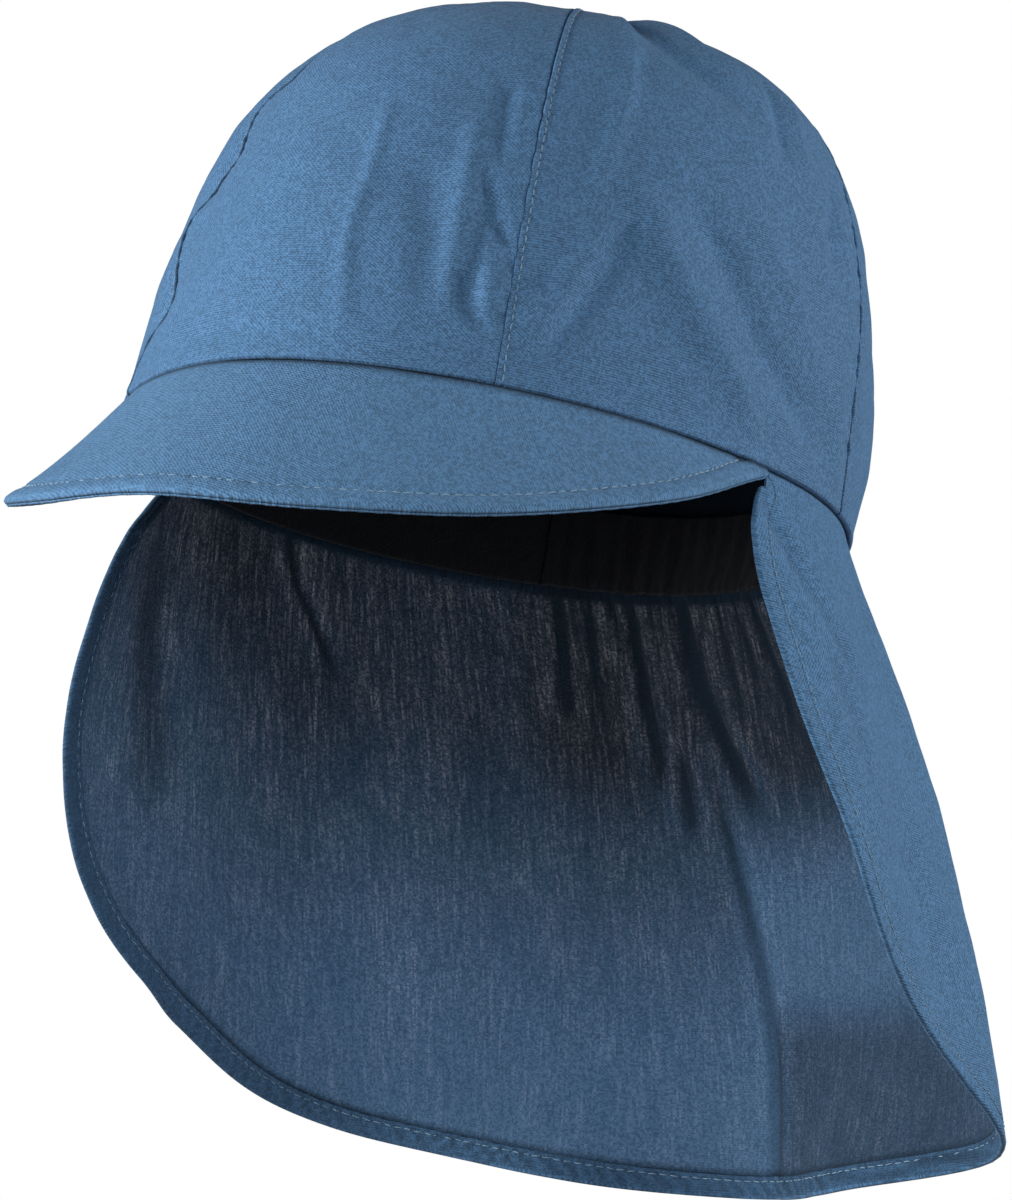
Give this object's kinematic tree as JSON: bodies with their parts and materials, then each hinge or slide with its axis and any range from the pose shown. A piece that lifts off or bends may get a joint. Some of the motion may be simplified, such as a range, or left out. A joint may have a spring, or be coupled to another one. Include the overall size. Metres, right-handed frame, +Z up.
{
  "type": "peaked cap with neck flap",
  "caption": "Soft cotton sun cap with a rounded panelled crown, a short curved peak and a wide hemmed flap over ears and neck, gathered by elastic at the back.",
  "frame": {"origin": "middle of the head opening, halfway across the rim's oval, where the cap sits on a head", "axes": "+Z up as worn, -Y the way the face looks, +X the wearer's left"},
  "size_m": [0.1998, 0.2379, 0.2634],
  "materials": {
    "crown_cloth": "fine cotton twill with a faint sheen, dusty blue",
    "peak_cloth": "fine cotton twill with a faint sheen, dusty blue",
    "flap_cloth": "the same cotton in one thin layer, light showing through its weave",
    "band_cloth": "the same cotton, doubled and ribbed over elastic at the back"
  },
  "bodies": {
    "root": {"crown_front_panel": "crown_cloth", "crown_left_panel": "crown_cloth", "crown_right_panel": "crown_cloth", "crown_back_left_panel": "crown_cloth", "crown_back_right_panel": "crown_cloth", "peak_top": "peak_cloth", "peak_underside": "peak_cloth", "neck_flap": "flap_cloth", "flap_hem": "flap_cloth", "inner_band": "band_cloth", "elastic_casing": "band_cloth"}
  },
  "joints": []
}
